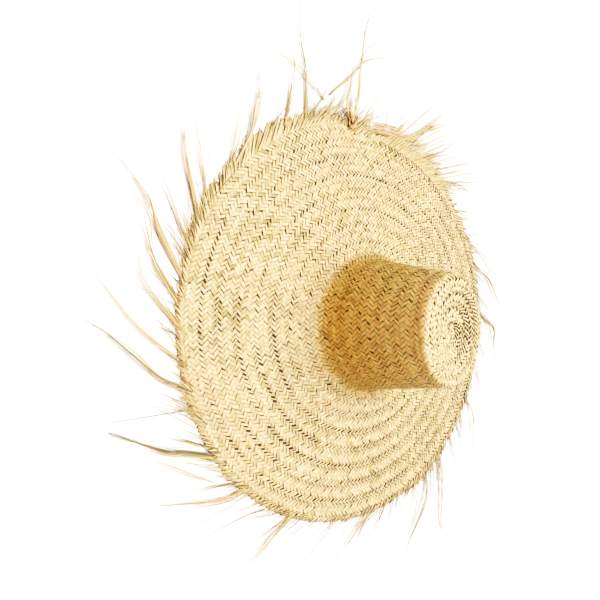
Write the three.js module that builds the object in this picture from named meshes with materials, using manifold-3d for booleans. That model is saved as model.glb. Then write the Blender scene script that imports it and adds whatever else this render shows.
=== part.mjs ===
// Straw hat, in millimetres, +Z up, resting on its brim.
//
// The real hat is one long plaited palm-straw braid, wound in a flat spiral from the middle of the
// crown's tip to the brim's edge and sewn along each turn. The straws' cut ends stay on the outer
// turn as a long swept fringe, and the braid's own end is tied in a knot. The model has five pieces:
// crown_tip, crown_side, brim, fringe and braid_end. The walls carry one low rib for each turn.
//
// The front is -Y. Angles are in degrees from the front, counterclockwise as seen from above.

import * as THREE from 'three';
import { mergeVertices } from 'three/addons/utils/BufferGeometryUtils.js';
import Module from 'manifold-3d';

const wasm = await Module();
wasm.setup();

// Driving dimensions
const BRIM_RADIUS = 289;
const BRIM_RISE = 10.1;
const FOOT_RADIUS = 106;
const CROWN_BASE_RADIUS = 97.5;
const CROWN_TIP_RADIUS = 69.5;
const CROWN_HEIGHT = 160;
const TIP_DISH = 9;
const TIP_TILT = 7.6;
const WALL = 2.2;
const GAP = 0.3;

// The braid: the width that shows of one turn, and how far a turn's middle stands up
const BRAID_WIDTH = 24.9;
const TIP_BRAID_WIDTH = 19.5;
const RIB = 0.9;

// The braid's end: where it is, and how far the last stretch of the edge grows before it
const END_ANGLE = 281.25;
const END_STEP = 11;
const END_STRETCH = 0.65;

// Roundings
const FOOT_FILLET = 11;
const SHOULDER = 6;

// Steps round the axis
const BRIM_STEPS = 96;
const CROWN_STEPS = 60;
const TIP_STEPS = 48;

// The fringe: the band of cut ends along the edge, and the straws that stand out of it
const BAND_WIDTH = 9;
const BAND_THICK = 1.8;
const ROOT_WIDTH = 0.4;
const SHORT_STRAWS = 44;
const GOLDEN = 0.618034;

// Long straws and locks of the fringe, one row each: the angles of root and tip, how far the tip
// lies past the edge, how far the middle bows outwards, the width at the root, and the highest
// point over the ground.
const LONG_STRAWS = [
  { root: -66, tip: -68.5, reach: 158, bow: 6, width: 5, high: 9 },
  { root: -56, tip: -65, reach: 118, bow: -8, width: 6, high: 7 },
  { root: -39, tip: -54.7, reach: 96, bow: -10, width: 8, high: 6 },
  { root: -34, tip: -48.5, reach: 82, bow: -4, width: 5, high: 5 },
  { root: -27, tip: -38, reach: 92, bow: 2, width: 6, high: 7 },
  { root: -21, tip: -34.7, reach: 88, bow: 4, width: 8, high: 5 },
  { root: -9, tip: -21.5, reach: 146, bow: -8, width: 5, high: 9 },
  { root: -6, tip: -23.3, reach: 113, bow: -8, width: 8, high: 6 },
  { root: -1, tip: -14.5, reach: 64, bow: 3, width: 9, high: 5 },
  { root: 4, tip: -5, reach: 46, bow: 2, width: 7, high: 6 },
  { root: 12, tip: -5.7, reach: 107, bow: -3, width: 5, high: 8 },
  { root: 18.5, tip: 2.3, reach: 101, bow: 2, width: 9, high: 6 },
  { root: 28, tip: 19, reach: 47, bow: 0, width: 5, high: 5 },
  { root: 36.5, tip: 20, reach: 92, bow: 5, width: 10, high: 6 },
  { root: 42, tip: 28.5, reach: 132, bow: 0, width: 5, high: 10 },
  { root: 49, tip: 37, reach: 81, bow: 3, width: 10, high: 7 },
  { root: 58, tip: 46.2, reach: 92, bow: 3, width: 5, high: 6 },
  { root: 67, tip: 58.3, reach: 104, bow: 2, width: 10, high: 8 },
  { root: 78, tip: 65, reach: 104, bow: 0, width: 4, high: 6 },
  { root: 97, tip: 86.5, reach: 62, bow: 2, width: 6, high: 5 },
  { root: 106, tip: 96.5, reach: 38, bow: 2, width: 5, high: 5 },
  { root: 119, tip: 99.3, reach: 100, bow: 6, width: 6, high: 7 },
  { root: 123.5, tip: 108, reach: 101, bow: 5, width: 7, high: 9 },
  { root: 131.5, tip: 121.7, reach: 160, bow: -2, width: 10, high: 9 },
  { root: 140, tip: 132.4, reach: 77, bow: 3, width: 5, high: 6 },
  { root: 155.5, tip: 142, reach: 86, bow: 2, width: 9, high: 8 },
  { root: 164, tip: 151, reach: 124, bow: -4, width: 4, high: 10 },
  { root: 172, tip: 155.5, reach: 71, bow: 0, width: 5, high: 6 },
  { root: 188.5, tip: 169.5, reach: 71, bow: 4, width: 10, high: 7 },
  { root: 206, tip: 184.4, reach: 90, bow: 6, width: 8, high: 9 },
  { root: 214.5, tip: 194.7, reach: 71, bow: 5, width: 8, high: 6 },
  { root: 226, tip: 206, reach: 161, bow: 5, width: 5, high: 10 },
  { root: 240, tip: 223.8, reach: 74, bow: 3, width: 5, high: 6 },
  { root: 253, tip: 240, reach: 96, bow: 2, width: 6, high: 8 },
  { root: 263, tip: 245.8, reach: 110, bow: -6, width: 12, high: 7 },
  { root: 268, tip: 247.3, reach: 128, bow: -8, width: 9, high: 9 },
  { root: 272, tip: 260, reach: 58, bow: 2, width: 8, high: 5 },
];

// Straws of the knot at the braid's end, with the same columns
const KNOT_STRAWS = [
  { root: -78.9, tip: -86.3, reach: 200, bow: 2, width: 7, high: 22 },
  { root: -78.5, tip: -84.5, reach: 140, bow: 4, width: 6, high: 30 },
  { root: -78.3, tip: -81.3, reach: 92, bow: 2, width: 5, high: 24 },
  { root: -79.2, tip: -91, reach: 88, bow: 3, width: 4, high: 18 },
];
const KNOT_LENGTH = 24;
const KNOT_THICK = 9;
const KNOT_RADIUS = 304;

// A point from its distance to the axis, its angle and its height
function at(radius, degrees, height) {
  const turn = THREE.MathUtils.degToRad(degrees);
  return new THREE.Vector3(radius * Math.sin(turn), -radius * Math.cos(turn), height);
}

// How far the plaited edge lies past BRIM_RADIUS: it grows clockwise up to the braid's end
function edgeGrowth(degrees) {
  const travelled = THREE.MathUtils.euclideanModulo(END_ANGLE - degrees, 360) / 360;
  return END_STEP * THREE.MathUtils.smoothstep(travelled, END_STRETCH, 1);
}

// The hat's outer line, from the brim's edge in to the foot, up the side and over the tip
function hatLine() {
  const edge = new THREE.Vector2(BRIM_RADIUS, WALL);
  const foot = new THREE.Vector2(FOOT_RADIUS, WALL + BRIM_RISE);
  const third = (BRIM_RADIUS - FOOT_RADIUS) / 3;
  const slope = BRIM_RISE / third;
  const base = new THREE.Vector2(CROWN_BASE_RADIUS, foot.y + slope * (FOOT_RADIUS - CROWN_BASE_RADIUS));
  const corner = new THREE.Vector2(CROWN_TIP_RADIUS, CROWN_HEIGHT);
  const up = corner.clone().sub(base).normalize();
  const filletEnd = base.clone().addScaledVector(up, FOOT_FILLET);
  const shoulderStart = corner.clone().addScaledVector(up, -SHOULDER);
  const shoulderEnd = new THREE.Vector2(CROWN_TIP_RADIUS - SHOULDER, CROWN_HEIGHT);
  const middle = new THREE.Vector2(0, CROWN_HEIGHT - TIP_DISH);
  const brim = new THREE.CubicBezierCurve(
    edge,
    new THREE.Vector2(BRIM_RADIUS - third, WALL),
    new THREE.Vector2(BRIM_RADIUS - 2 * third, WALL),
    foot,
  );
  const side = new THREE.CurvePath();
  side.add(new THREE.QuadraticBezierCurve(foot, base, filletEnd));
  side.add(new THREE.LineCurve(filletEnd, shoulderStart));
  const tip = new THREE.CurvePath();
  tip.add(new THREE.QuadraticBezierCurve(shoulderStart, corner, shoulderEnd));
  tip.add(new THREE.CubicBezierCurve(
    shoulderEnd,
    new THREE.Vector2(shoulderEnd.x * 0.62, CROWN_HEIGHT),
    new THREE.Vector2(shoulderEnd.x * 0.58, middle.y),
    middle,
  ));
  return { brim, side, tip };
}

// The line's point at a share of its length, moved out of the wall by an offset
function offsetPoint(line, share, offset) {
  const point = line.getPointAt(share);
  const along = line.getTangentAt(share);
  return new THREE.Vector2(point.x + along.y * offset, point.y - along.x * offset);
}

// The ribbed outer face of a stretch of the line: a seam between turns, and a crest in each
function ribbedFace(line, turnWidth) {
  const turns = Math.max(1, Math.round(line.getLength() / turnWidth));
  const points = [];
  for (let half = 0; half <= 2 * turns; half += 1) {
    const crest = half % 2 === 1 ? RIB : 0;
    points.push(offsetPoint(line, half / (2 * turns), crest));
  }
  return points;
}

// The smooth inner face of a stretch of the line, from its end back to its start
function innerFace(line, steps) {
  const points = [];
  for (let step = steps; step >= 0; step -= 1) {
    points.push(offsetPoint(line, step / steps, -WALL));
  }
  return points;
}

// A profile turned round the axis, with +Z up
function turned(profile, steps) {
  const geometry = new THREE.LatheGeometry(profile, steps);
  geometry.rotateX(Math.PI / 2);
  return geometry;
}

// Every vertex of a turned shape moved by a rule of its radius, angle and height
function reshaped(geometry, rule) {
  const place = geometry.getAttribute('position');
  for (let i = 0; i < place.count; i += 1) {
    const x = place.getX(i);
    const y = place.getY(i);
    const radius = Math.hypot(x, y);
    const degrees = THREE.MathUtils.radToDeg(Math.atan2(x, -y));
    const moved = rule(radius, degrees, place.getZ(i));
    place.setXYZ(i, moved.x, moved.y, moved.z);
  }
  return geometry;
}

// A closed shape with only shared corners left
function welded(geometry) {
  const bare = geometry.index ? geometry : mergeVertices(geometry);
  bare.deleteAttribute('normal');
  bare.deleteAttribute('uv');
  return mergeVertices(bare, 1e-4);
}

// The crown leans back a little more towards its tip, so the tip's plane is tilted
function lean(radius, degrees, height) {
  const rise = THREE.MathUtils.smoothstep(height, WALL + BRIM_RISE, CROWN_HEIGHT);
  const tilt = Math.tan(THREE.MathUtils.degToRad(TIP_TILT)) * rise;
  const turn = THREE.MathUtils.degToRad(degrees);
  return at(radius, degrees, height + tilt * radius * Math.cos(turn));
}

// The brim's outer turns move out with the edge
function spread(radius, degrees, height) {
  const share = THREE.MathUtils.clamp((radius - FOOT_RADIUS) / (BRIM_RADIUS - FOOT_RADIUS), 0, 1);
  return at(radius + edgeGrowth(degrees) * share ** 3, degrees, height);
}

function crownTip(line) {
  const outer = ribbedFace(line.tip, TIP_BRAID_WIDTH);
  const last = outer.length - 1;
  outer[last].x = 0;
  const inner = innerFace(line.tip, 8);
  inner[0].x = 0;
  return reshaped(turned([...inner, ...outer], TIP_STEPS), lean);
}

function crownSide(line) {
  const outer = ribbedFace(line.side, BRAID_WIDTH);
  const inner = innerFace(line.side, 6);
  const up = line.side.getTangentAt(1);
  const topOuter = outer[outer.length - 1];
  const topInner = inner[0];
  for (const point of [topOuter, topInner]) {
    point.addScaledVector(up, -GAP);
  }
  const profile = [...outer, ...inner, outer[0]];
  return reshaped(turned(profile, CROWN_STEPS), lean);
}

function brim(line) {
  const outer = ribbedFace(line.brim, BRAID_WIDTH);
  for (const point of outer) {
    point.x = Math.max(point.x, FOOT_RADIUS + GAP);
  }
  const inner = [
    new THREE.Vector2(FOOT_RADIUS + GAP, BRIM_RISE),
    offsetPoint(line.brim, 0.8, -WALL),
    offsetPoint(line.brim, 0.6, -WALL),
    new THREE.Vector2(BRIM_RADIUS - 2 * BRAID_WIDTH, 0),
    new THREE.Vector2(BRIM_RADIUS, 0),
  ];
  const profile = [...outer, ...inner, outer[0]];
  return reshaped(turned(profile, BRIM_STEPS), spread);
}

// The band of cut ends that follows the brim's edge
function fringeBand() {
  const start = BRIM_RADIUS + GAP;
  const end = BRIM_RADIUS + BAND_WIDTH;
  const profile = [
    new THREE.Vector2(start, 0),
    new THREE.Vector2(end, 0),
    new THREE.Vector2(end, BAND_THICK / 2),
    new THREE.Vector2(start, BAND_THICK),
    new THREE.Vector2(start, 0),
  ];
  return reshaped(turned(profile, BRIM_STEPS), spread);
}

// A straw's middle line: swept from root to tip, bowed sideways and arched over the ground
function strawLine(row, rootRadius, rootHeight) {
  const root = at(rootRadius, row.root, rootHeight);
  const tip = at(BRIM_RADIUS + row.reach, row.tip, BAND_THICK / 2);
  const middle = root.clone().lerp(tip, 0.5);
  const outward = new THREE.Vector3(middle.x, middle.y, 0).normalize();
  middle.addScaledVector(outward, 2 * row.bow);
  middle.z = 2 * row.high - (rootHeight + tip.z) / 2;
  return new THREE.QuadraticBezierCurve3(root, middle, tip);
}

// A straw or lock: a three-sided strip that narrows along its line
function straw(line, width, steps) {
  const corners = [];
  const faces = [];
  const up = new THREE.Vector3(0, 0, 1);
  for (let step = 0; step <= steps; step += 1) {
    const share = step / steps;
    const middle = line.getPoint(share);
    const side = line.getTangent(share).cross(up).normalize();
    const half = (width / 2) * (step === 0 ? ROOT_WIDTH : 1 - 0.8 * share);
    const thick = 0.5 + 0.2 * half;
    corners.push(middle.clone().addScaledVector(side, half).addScaledVector(up, -thick / 2));
    corners.push(middle.clone().addScaledVector(up, thick / 2));
    corners.push(middle.clone().addScaledVector(side, -half).addScaledVector(up, -thick / 2));
  }
  for (let step = 0; step < steps; step += 1) {
    for (let side = 0; side < 3; side += 1) {
      const a = 3 * step + side;
      const b = 3 * step + ((side + 1) % 3);
      faces.push(a, b + 3, b, a, a + 3, b + 3);
    }
  }
  const end = 3 * steps;
  faces.push(0, 1, 2, end, end + 2, end + 1);
  const geometry = new THREE.BufferGeometry().setFromPoints(corners);
  geometry.setIndex(faces);
  return geometry;
}

// A short straw for each step round the edge, its length and sweep from its number
function shortStraws() {
  const rows = [];
  for (let i = 0; i < SHORT_STRAWS; i += 1) {
    const spin = (i * GOLDEN) % 1;
    const other = (i * GOLDEN * GOLDEN * 7) % 1;
    const root = (360 * (i + 0.6 * other)) / SHORT_STRAWS;
    const reach = 16 + 30 * spin ** 2;
    rows.push({ root, tip: root - 3 - 0.13 * reach, reach, bow: 1, width: 4 + 3 * other, high: 2 + 3 * spin });
  }
  return rows;
}

function toManifold(geometry) {
  const clean = welded(geometry);
  const mesh = new wasm.Mesh({
    numProp: 3,
    vertProperties: new Float32Array(clean.getAttribute('position').array),
    triVerts: new Uint32Array(clean.index.array),
  });
  return new wasm.Manifold(mesh);
}

function fromManifold(solid) {
  const mesh = solid.getMesh();
  const geometry = new THREE.BufferGeometry();
  geometry.setAttribute('position', new THREE.BufferAttribute(mesh.vertProperties, 3));
  geometry.setIndex(new THREE.BufferAttribute(mesh.triVerts, 1));
  return geometry;
}

function fused(geometries) {
  let whole = toManifold(geometries[0]);
  for (const geometry of geometries.slice(1)) {
    whole = whole.add(toManifold(geometry));
  }
  return fromManifold(whole);
}

function fringe() {
  const pieces = [fringeBand()];
  for (const row of [...LONG_STRAWS, ...shortStraws()]) {
    const rootRadius = BRIM_RADIUS + edgeGrowth(row.root) + BAND_WIDTH / 3;
    const line = strawLine(row, rootRadius, BAND_THICK / 2);
    pieces.push(straw(line, row.width, row.reach > 60 ? 3 : 2));
  }
  return fused(pieces);
}

// The knot lies on the brim's edge, and its straws spread from it
function braidEnd() {
  const height = WALL + RIB + GAP + KNOT_THICK / 2;
  const angle = END_ANGLE - 360;
  const knot = new THREE.SphereGeometry(1, 10, 8);
  knot.scale(KNOT_LENGTH / 2, KNOT_THICK / 2, KNOT_THICK / 2);
  const outward = at(1, angle, 0);
  knot.rotateZ(Math.atan2(outward.y, outward.x));
  const centre = at(KNOT_RADIUS, angle, height);
  knot.translate(centre.x, centre.y, centre.z);
  const pieces = [knot];
  for (const row of KNOT_STRAWS) {
    pieces.push(straw(strawLine(row, KNOT_RADIUS, height), row.width, 4));
  }
  return fused(pieces);
}

const STRAW = new THREE.MeshStandardMaterial({ color: 0xe9cf96, roughness: 0.72, metalness: 0 });
const CUT_STRAW = new THREE.MeshStandardMaterial({ color: 0xd9b877, roughness: 0.75, metalness: 0 });

function named(name, geometry, material) {
  const mesh = new THREE.Mesh(welded(geometry), material);
  mesh.name = name;
  return mesh;
}

function strawHat() {
  const line = hatLine();
  const hat = new THREE.Group();
  hat.add(named('crown_tip', crownTip(line), STRAW));
  hat.add(named('crown_side', crownSide(line), STRAW));
  hat.add(named('brim', brim(line), STRAW));
  hat.add(named('fringe', fringe(), CUT_STRAW));
  hat.add(named('braid_end', braidEnd(), CUT_STRAW));

  // The origin is under the middle of the whole hat's box, fringe included
  const box = new THREE.Box3().setFromObject(hat);
  const centre = box.getCenter(new THREE.Vector3());
  hat.position.set(-centre.x, -centre.y, -box.min.z);
  hat.updateMatrixWorld(true);
  return hat;
}

export default strawHat();
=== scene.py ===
# Straw hat: the plaited palm straw, the swept fringe of cut ends and the knot at the braid's end.
#
# One long plait winds in a spiral from the middle of the crown's tip to the brim's edge. Each turn
# shows four columns of herringbone. Angles are in degrees from the front (-Y), counterclockwise
# from above. "Wound" is the angle along the spiral, from the braid's end inwards.

import math

import bpy
import numpy as np
from mathutils import Matrix, Vector


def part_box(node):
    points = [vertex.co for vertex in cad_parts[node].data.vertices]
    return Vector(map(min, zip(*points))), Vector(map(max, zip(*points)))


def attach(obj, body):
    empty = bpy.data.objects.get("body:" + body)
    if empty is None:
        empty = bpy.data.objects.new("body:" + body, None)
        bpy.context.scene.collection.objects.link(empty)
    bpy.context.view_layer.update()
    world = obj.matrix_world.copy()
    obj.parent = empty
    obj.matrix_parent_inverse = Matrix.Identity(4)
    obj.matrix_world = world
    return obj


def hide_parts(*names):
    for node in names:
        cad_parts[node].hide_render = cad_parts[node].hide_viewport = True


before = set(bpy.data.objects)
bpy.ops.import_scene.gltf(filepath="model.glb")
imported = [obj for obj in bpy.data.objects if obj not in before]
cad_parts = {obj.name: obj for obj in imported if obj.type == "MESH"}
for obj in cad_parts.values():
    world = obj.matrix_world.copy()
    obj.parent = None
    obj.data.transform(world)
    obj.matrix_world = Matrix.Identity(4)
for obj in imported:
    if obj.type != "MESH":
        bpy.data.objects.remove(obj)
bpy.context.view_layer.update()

# Sizes in metres, as the solids have them
BRIM_RADIUS = 0.289
BRIM_RISE = 0.0101
FOOT_RADIUS = 0.106
CROWN_BASE_RADIUS = 0.0975
CROWN_TIP_RADIUS = 0.0695
CROWN_HEIGHT = 0.160
TIP_DISH = 0.009
DISH_SHARES = (0.62, 0.58)
TIP_TILT = 7.6
WALL = 0.0022
FOOT_REACH = 0.013
FOOT_FILLET = 0.020
SHOULDER = 0.006
EDGE_STEP = 0.011
EDGE_STEP_TURN = 0.35
END_ANGLE = -78.75

# The plait
TURN_WIDTH = 0.0249
BRIM_PITCH = 0.0067
CROWN_PITCH = 0.0062
TIP_PITCH = 0.0072
CROWN_TURNS = (7.2, 9.0)
UNDER_WIDTH = 0.76
SNUGNESS = (0.74, 0.70, 0.72, 0.70)
CROWN_SLACK = 0.45
FOOT_TURNS = (6.2, 7.2)
TIP_TURNS = (13.4, 14.2)
PITCHES = (BRIM_PITCH, CROWN_PITCH, CROWN_PITCH, TIP_PITCH)
TIP_LOOSENESS = 0.56
TIP_FAR_SIDE = -0.15
TIP_RING_SIDE = 0.8
TIP_SLACK = (0.04, 0.70)
TIP_MIDDLE_TURN = 15.8
MIDDLE_SNUGNESS = 0.55
LOOSE_AT = (-180, -110, -65, -20, 30, 90, 140, 180)
BRIM_SNUG = (0.92, 0.95, 0.94, 1.02, 1.03, 1.04, 0.98, 0.92)
SEAM_SLACK = (0.42, 0.26, 0.06, 0.08, 0.20, 0.54, 0.54, 0.42)
SECOND_SLACK = (0.34, 0.24, 0.06, 0.00, 0.16, 0.52, 0.46, 0.34)
SLACK_SPREAD = (0.7, 0.9, 1.1, 1.1, 1.0, 0.5, 0.5, 0.7)
LEAST_SLACK = 0.02
MOST_SLACK = 0.60
LOWEST = 0.0002
# Painted shade on the low sides of the strands: a share for each piece, and more where strands part
EDGE_SHADES = {"brim": 0.06, "crown_side": 0.16, "crown_tip": 0.06}
PARTED_SHADE = 1.3
TIP_TURN_WIDTH = 0.0195
DISH_EXTRA = 0.0013
CROWN_EXTRA = 0.0053
FIRST_SEAM = 0.0216
COLUMNS = 4
STRAND_THICK = 0.0006
WEAVE_LIFT = 0.00045
ROW_CREST = 0.0011
TUCK = 0.3
SEAM_LAP = 1.1
UNDER_LAP = 1.3
# The most painted shade, where a strand goes under
HIDDEN_SHADE = 1.0
SMALLEST_RING = 0.008

# How uneven the strands are: place, width and opening as shares, height in metres, cant as a slope
UNEVEN_PLACE = 0.085
UNEVEN_WIDTH = 0.03
UNEVEN_OPENING = 0.09
UNEVEN_HEIGHT = 0.00010
UNEVEN_CANT = 0.05
MEAN_CANT = 0.05
MOST_HUE = 0.93

# Stretches of a strand, in columns from its turn's outer side, where it gets narrower or wider
BY_SEAM = (0.75, 1.15)
SECOND_FROM = (0.6, 0.95)
SECOND_TO = (2.05, 2.4)

# The weave's wave, from -1 below to 1 on top: its steepness, where a strand narrows and hides, and where
# painted shade darkens it
WAVE_STEEPNESS = 1.7
NARROWS_AT = (-0.8, 0.0)
HIDES_AT = (-0.28, 0.8)
# Painted shade on the low sides of the strands: where it starts and how dark it gets at most
SIDE_SHADE_AT = (0.0, 0.55)
DARKEST_SIDE = 0.9
ROW_GRAIN = 0.37

STRAW_TINTS = [  # share of the straws, colour
    (0.00, (0.760, 0.590, 0.350)),
    (0.50, (0.740, 0.550, 0.300)),
    (0.70, (0.700, 0.490, 0.240)),
    (0.82, (0.740, 0.500, 0.310)),
    (0.90, (0.560, 0.450, 0.210)),
    (0.95, (0.480, 0.290, 0.100)),
    (1.00, (0.240, 0.200, 0.100)),
]
OCHRE, PINK, OLIVE, BROWN, DARK_OLIVE = 0.70, 0.82, 0.90, 0.95, 1.00

# Where the outer line starts, outside the widest edge
LINE_START_RADIUS = 0.320
PAST_MIDDLE = 0.030
WIDEST_RADIUS = BRIM_RADIUS + EDGE_STEP

low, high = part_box("crown_side")
AXIS = Vector(((low.x + high.x) / 2, (low.y + high.y) / 2, 0.0))


# Node trees

class Term:
    """One number of a node tree. Sums of terms make Math nodes, so a formula reads as on paper."""

    def __init__(self, tree, socket):
        self.tree = tree
        self.socket = socket

    def sum(self, operation, *others):
        values = (self, *others)
        return Term(self.tree, filled(self.tree, "ShaderNodeMath", values, operation=operation))

    def __add__(self, other):
        return self.sum("ADD", other)

    def __sub__(self, other):
        return self.sum("SUBTRACT", other)

    def __mul__(self, other):
        return self.sum("MULTIPLY", other)

    def __truediv__(self, other):
        return self.sum("DIVIDE", other)

    def clamped(self, low, high):
        return self.sum("MINIMUM", high).sum("MAXIMUM", low)

    def smooth(self, start, end, low=0.0, high=1.0):
        """low up to start, high from end on, with a smooth step between them"""
        values = (self, start, end, low, high)
        made = filled(self.tree, "ShaderNodeMapRange", values, interpolation_type="SMOOTHSTEP")
        return Term(self.tree, made)


def feed(tree, slot, value):
    """A socket's value: a term, another node's socket or a plain number"""
    if isinstance(value, Term):
        tree.links.new(value.socket, slot)
    elif isinstance(value, bpy.types.NodeSocket):
        tree.links.new(value, slot)
    else:
        slot.default_value = value


def filled(tree, kind, values, **settings):
    """The result of a node of that kind, with its settings and its inputs in their order"""
    node = tree.nodes.new(kind)
    for name, value in settings.items():
        setattr(node, name, value)
    for slot, value in zip(node.inputs, values):
        feed(tree, slot, value)
    return node.outputs[0]


def step(tree, kind, settings=None, **inputs):
    """A node of that kind, with its settings and its inputs by name, _ for a space"""
    node = tree.nodes.new(kind)
    for name, value in (settings or {}).items():
        setattr(node, name, value)
    for name, value in inputs.items():
        feed(tree, node.inputs[name.replace("_", " ")], value)
    return node


def read(tree, name):
    """A named number of the seeds or of the strap"""
    node = tree.nodes.new("GeometryNodeInputNamedAttribute")
    node.data_type = "FLOAT"
    node.inputs["Name"].default_value = name
    return Term(tree, node.outputs["Attribute"])


def combined(tree, *parts):
    return filled(tree, "ShaderNodeCombineXYZ", parts)


def split(tree, vector):
    node = tree.nodes.new("ShaderNodeSeparateXYZ")
    tree.links.new(vector, node.inputs[0])
    return [Term(tree, socket) for socket in node.outputs]


def grown(name, seeds, tree, values):
    """The plain mesh that a tree makes of its seeds, as an object of that name"""
    piece = bpy.data.objects.new(name, seeds)
    bpy.context.scene.collection.objects.link(piece)
    modifier = piece.modifiers.new(name, "NODES")
    modifier.node_group = tree
    for item in tree.interface.items_tree:
        if item.in_out == "INPUT" and item.name in values:
            modifier[item.identifier] = values[item.name]
    graph = bpy.context.evaluated_depsgraph_get()
    grown_mesh = bpy.data.meshes.new_from_object(
        piece.evaluated_get(graph), preserve_all_data_layers=True, depsgraph=graph
    )
    piece.modifiers.clear()
    piece.data = grown_mesh
    grown_mesh.name = name
    return piece


def seed_mesh(name, columns):
    """Loose points, each with its named numbers"""
    count = len(next(iter(columns.values())))
    mesh = bpy.data.meshes.new(name)
    mesh.vertices.add(count)
    for label, values in columns.items():
        kept = mesh.attributes.new(label, "FLOAT", "POINT")
        kept.data.foreach_set("value", np.asarray(values, np.float32))
    return mesh


# The hat's outer line, from outside the edge in to the foot, up the side and over the tip

def bezier(corners, steps):
    """Points along a Bezier curve through its first and last corner"""
    shares = np.linspace(0, 1, steps + 1)[:, None]
    rows = [np.repeat(np.array(corner, float)[None], steps + 1, 0) for corner in corners]
    while len(rows) > 1:
        rows = [(1 - shares) * a + shares * b for a, b in zip(rows, rows[1:])]
    return rows[0]


def hat_line():
    edge = np.array((BRIM_RADIUS, WALL))
    foot = np.array((FOOT_RADIUS, WALL + BRIM_RISE))
    third = (BRIM_RADIUS - FOOT_RADIUS) / 3
    slope = BRIM_RISE / third
    base = np.array((CROWN_BASE_RADIUS, foot[1] + slope * (FOOT_RADIUS - CROWN_BASE_RADIUS)))
    corner = np.array((CROWN_TIP_RADIUS, CROWN_HEIGHT))
    up = (corner - base) / np.linalg.norm(corner - base)
    fillet_end = base + up * FOOT_FILLET
    shoulder_start = corner - up * SHOULDER
    shoulder_end = np.array((CROWN_TIP_RADIUS - SHOULDER, CROWN_HEIGHT))
    floor = CROWN_HEIGHT - TIP_DISH
    rim_side, floor_side = (shoulder_end[0] * share for share in DISH_SHARES)
    dish = (rim_side, CROWN_HEIGHT), (floor_side, floor), (0, floor)
    inner = (BRIM_RADIUS - third, WALL), (BRIM_RADIUS - 2 * third, WALL)
    brim = bezier([edge, *inner, foot], 180)
    brim = brim[brim[:, 0] > FOOT_RADIUS + FOOT_REACH]
    stretches = [
        bezier([(LINE_START_RADIUS, WALL), edge], 8),
        brim,
        bezier([brim[-1], base, fillet_end], 24),
        bezier([fillet_end, shoulder_start], 40),
        bezier([shoulder_start, corner, shoulder_end], 16),
        bezier([shoulder_end, *dish], 40),
        bezier([(0, floor), (-PAST_MIDDLE, floor)], 20),
    ]
    return np.vstack([stretches[0]] + [stretch[1:] for stretch in stretches[1:]])


LINE = hat_line()
LINE_LENGTH = np.concatenate([[0], np.cumsum(np.linalg.norm(np.diff(LINE, axis=0), axis=1))])
START_LENGTH = LINE_START_RADIUS - WIDEST_RADIUS
TIP_LENGTH = LINE_LENGTH[-1] - PAST_MIDDLE - CROWN_TIP_RADIUS - START_LENGTH - DISH_EXTRA


def line_object():
    """The outer line as a curve that the node trees sample"""
    curve = bpy.data.curves.new("outer_line", "CURVE")
    curve.dimensions = "3D"
    spline = curve.splines.new("POLY")
    spline.points.add(len(LINE) - 1)
    for point, (radius, height) in zip(spline.points, LINE):
        point.co = (radius, 0, height, 1)
    return bpy.data.objects.new("outer_line", curve)


def radius_at(length):
    """The hat's radius at a distance along the line from the widest edge"""
    return np.interp(length + START_LENGTH, LINE_LENGTH, LINE[:, 0])


# The spiral

def edge_radius(wound):
    """The plait's outer edge, which moves out towards the braid's end"""
    share = np.clip(wound / 360 / EDGE_STEP_TURN, 0, 1)
    return BRIM_RADIUS + EDGE_STEP * (1 - share * share * (3 - 2 * share))


def seam_length(wound):
    """How far in from the widest edge the seam lies that starts at the braid's end"""
    crown_turns = TIP_TURNS[0] - CROWN_TURNS[0]
    on_crown = np.clip((wound / 360 - CROWN_TURNS[0]) / crown_turns, 0, 1)
    brim_part = FIRST_SEAM + TURN_WIDTH * wound / 360 + CROWN_EXTRA * on_crown
    past = np.maximum(brim_part - TIP_LENGTH, 0)
    return np.minimum(brim_part, TIP_LENGTH) + past * TIP_TURN_WIDTH / TURN_WIDTH


def outer_side(wound, outermost):
    """How far in from the widest edge the outer side of the turn at a wound angle lies"""
    if outermost:
        return float(WIDEST_RADIUS - edge_radius(wound))
    return float(seam_length(wound - 360) - TURN_WIDTH / COLUMNS / 2)


def inner_side(wound):
    return outer_side(wound + 360, False)


EDGE_ROW_SPLIT = 246
EDGE_ROWS = [  # the outermost turn: wound from, to, first and last column, columns it holds
    (-6, EDGE_ROW_SPLIT, 1, 4, 3),
    (EDGE_ROW_SPLIT, 365, -1, 4, 5),
]


def slow_change(count, length, rng):
    """Numbers from 0 to 1 that drift from one strand to the next, over about that many strands"""
    knots = np.arange(-length, count + length, length)
    return np.interp(np.arange(count), knots, rng.random(len(knots)))


def turn_at(wound, first, holds):
    """Where a turn's first column starts, how wide its columns are, its radius and its strands' pitch"""
    outer = outer_side(wound, holds != COLUMNS)
    column = (inner_side(wound) - outer) / holds
    outer -= first * column if holds != COLUMNS else 0
    radius = max(float(radius_at(outer + column * COLUMNS / 2)), SMALLEST_RING)
    pitch = float(np.interp(wound / 360, (*CROWN_TURNS, *TIP_TURNS), PITCHES))
    return outer, column, radius, pitch


def uneven(count, length, drifting, single, rng):
    """Numbers that partly drift along the turn and partly differ from strand to strand"""
    return slow_change(count, length, rng) * drifting + rng.random(count) * single


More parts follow.
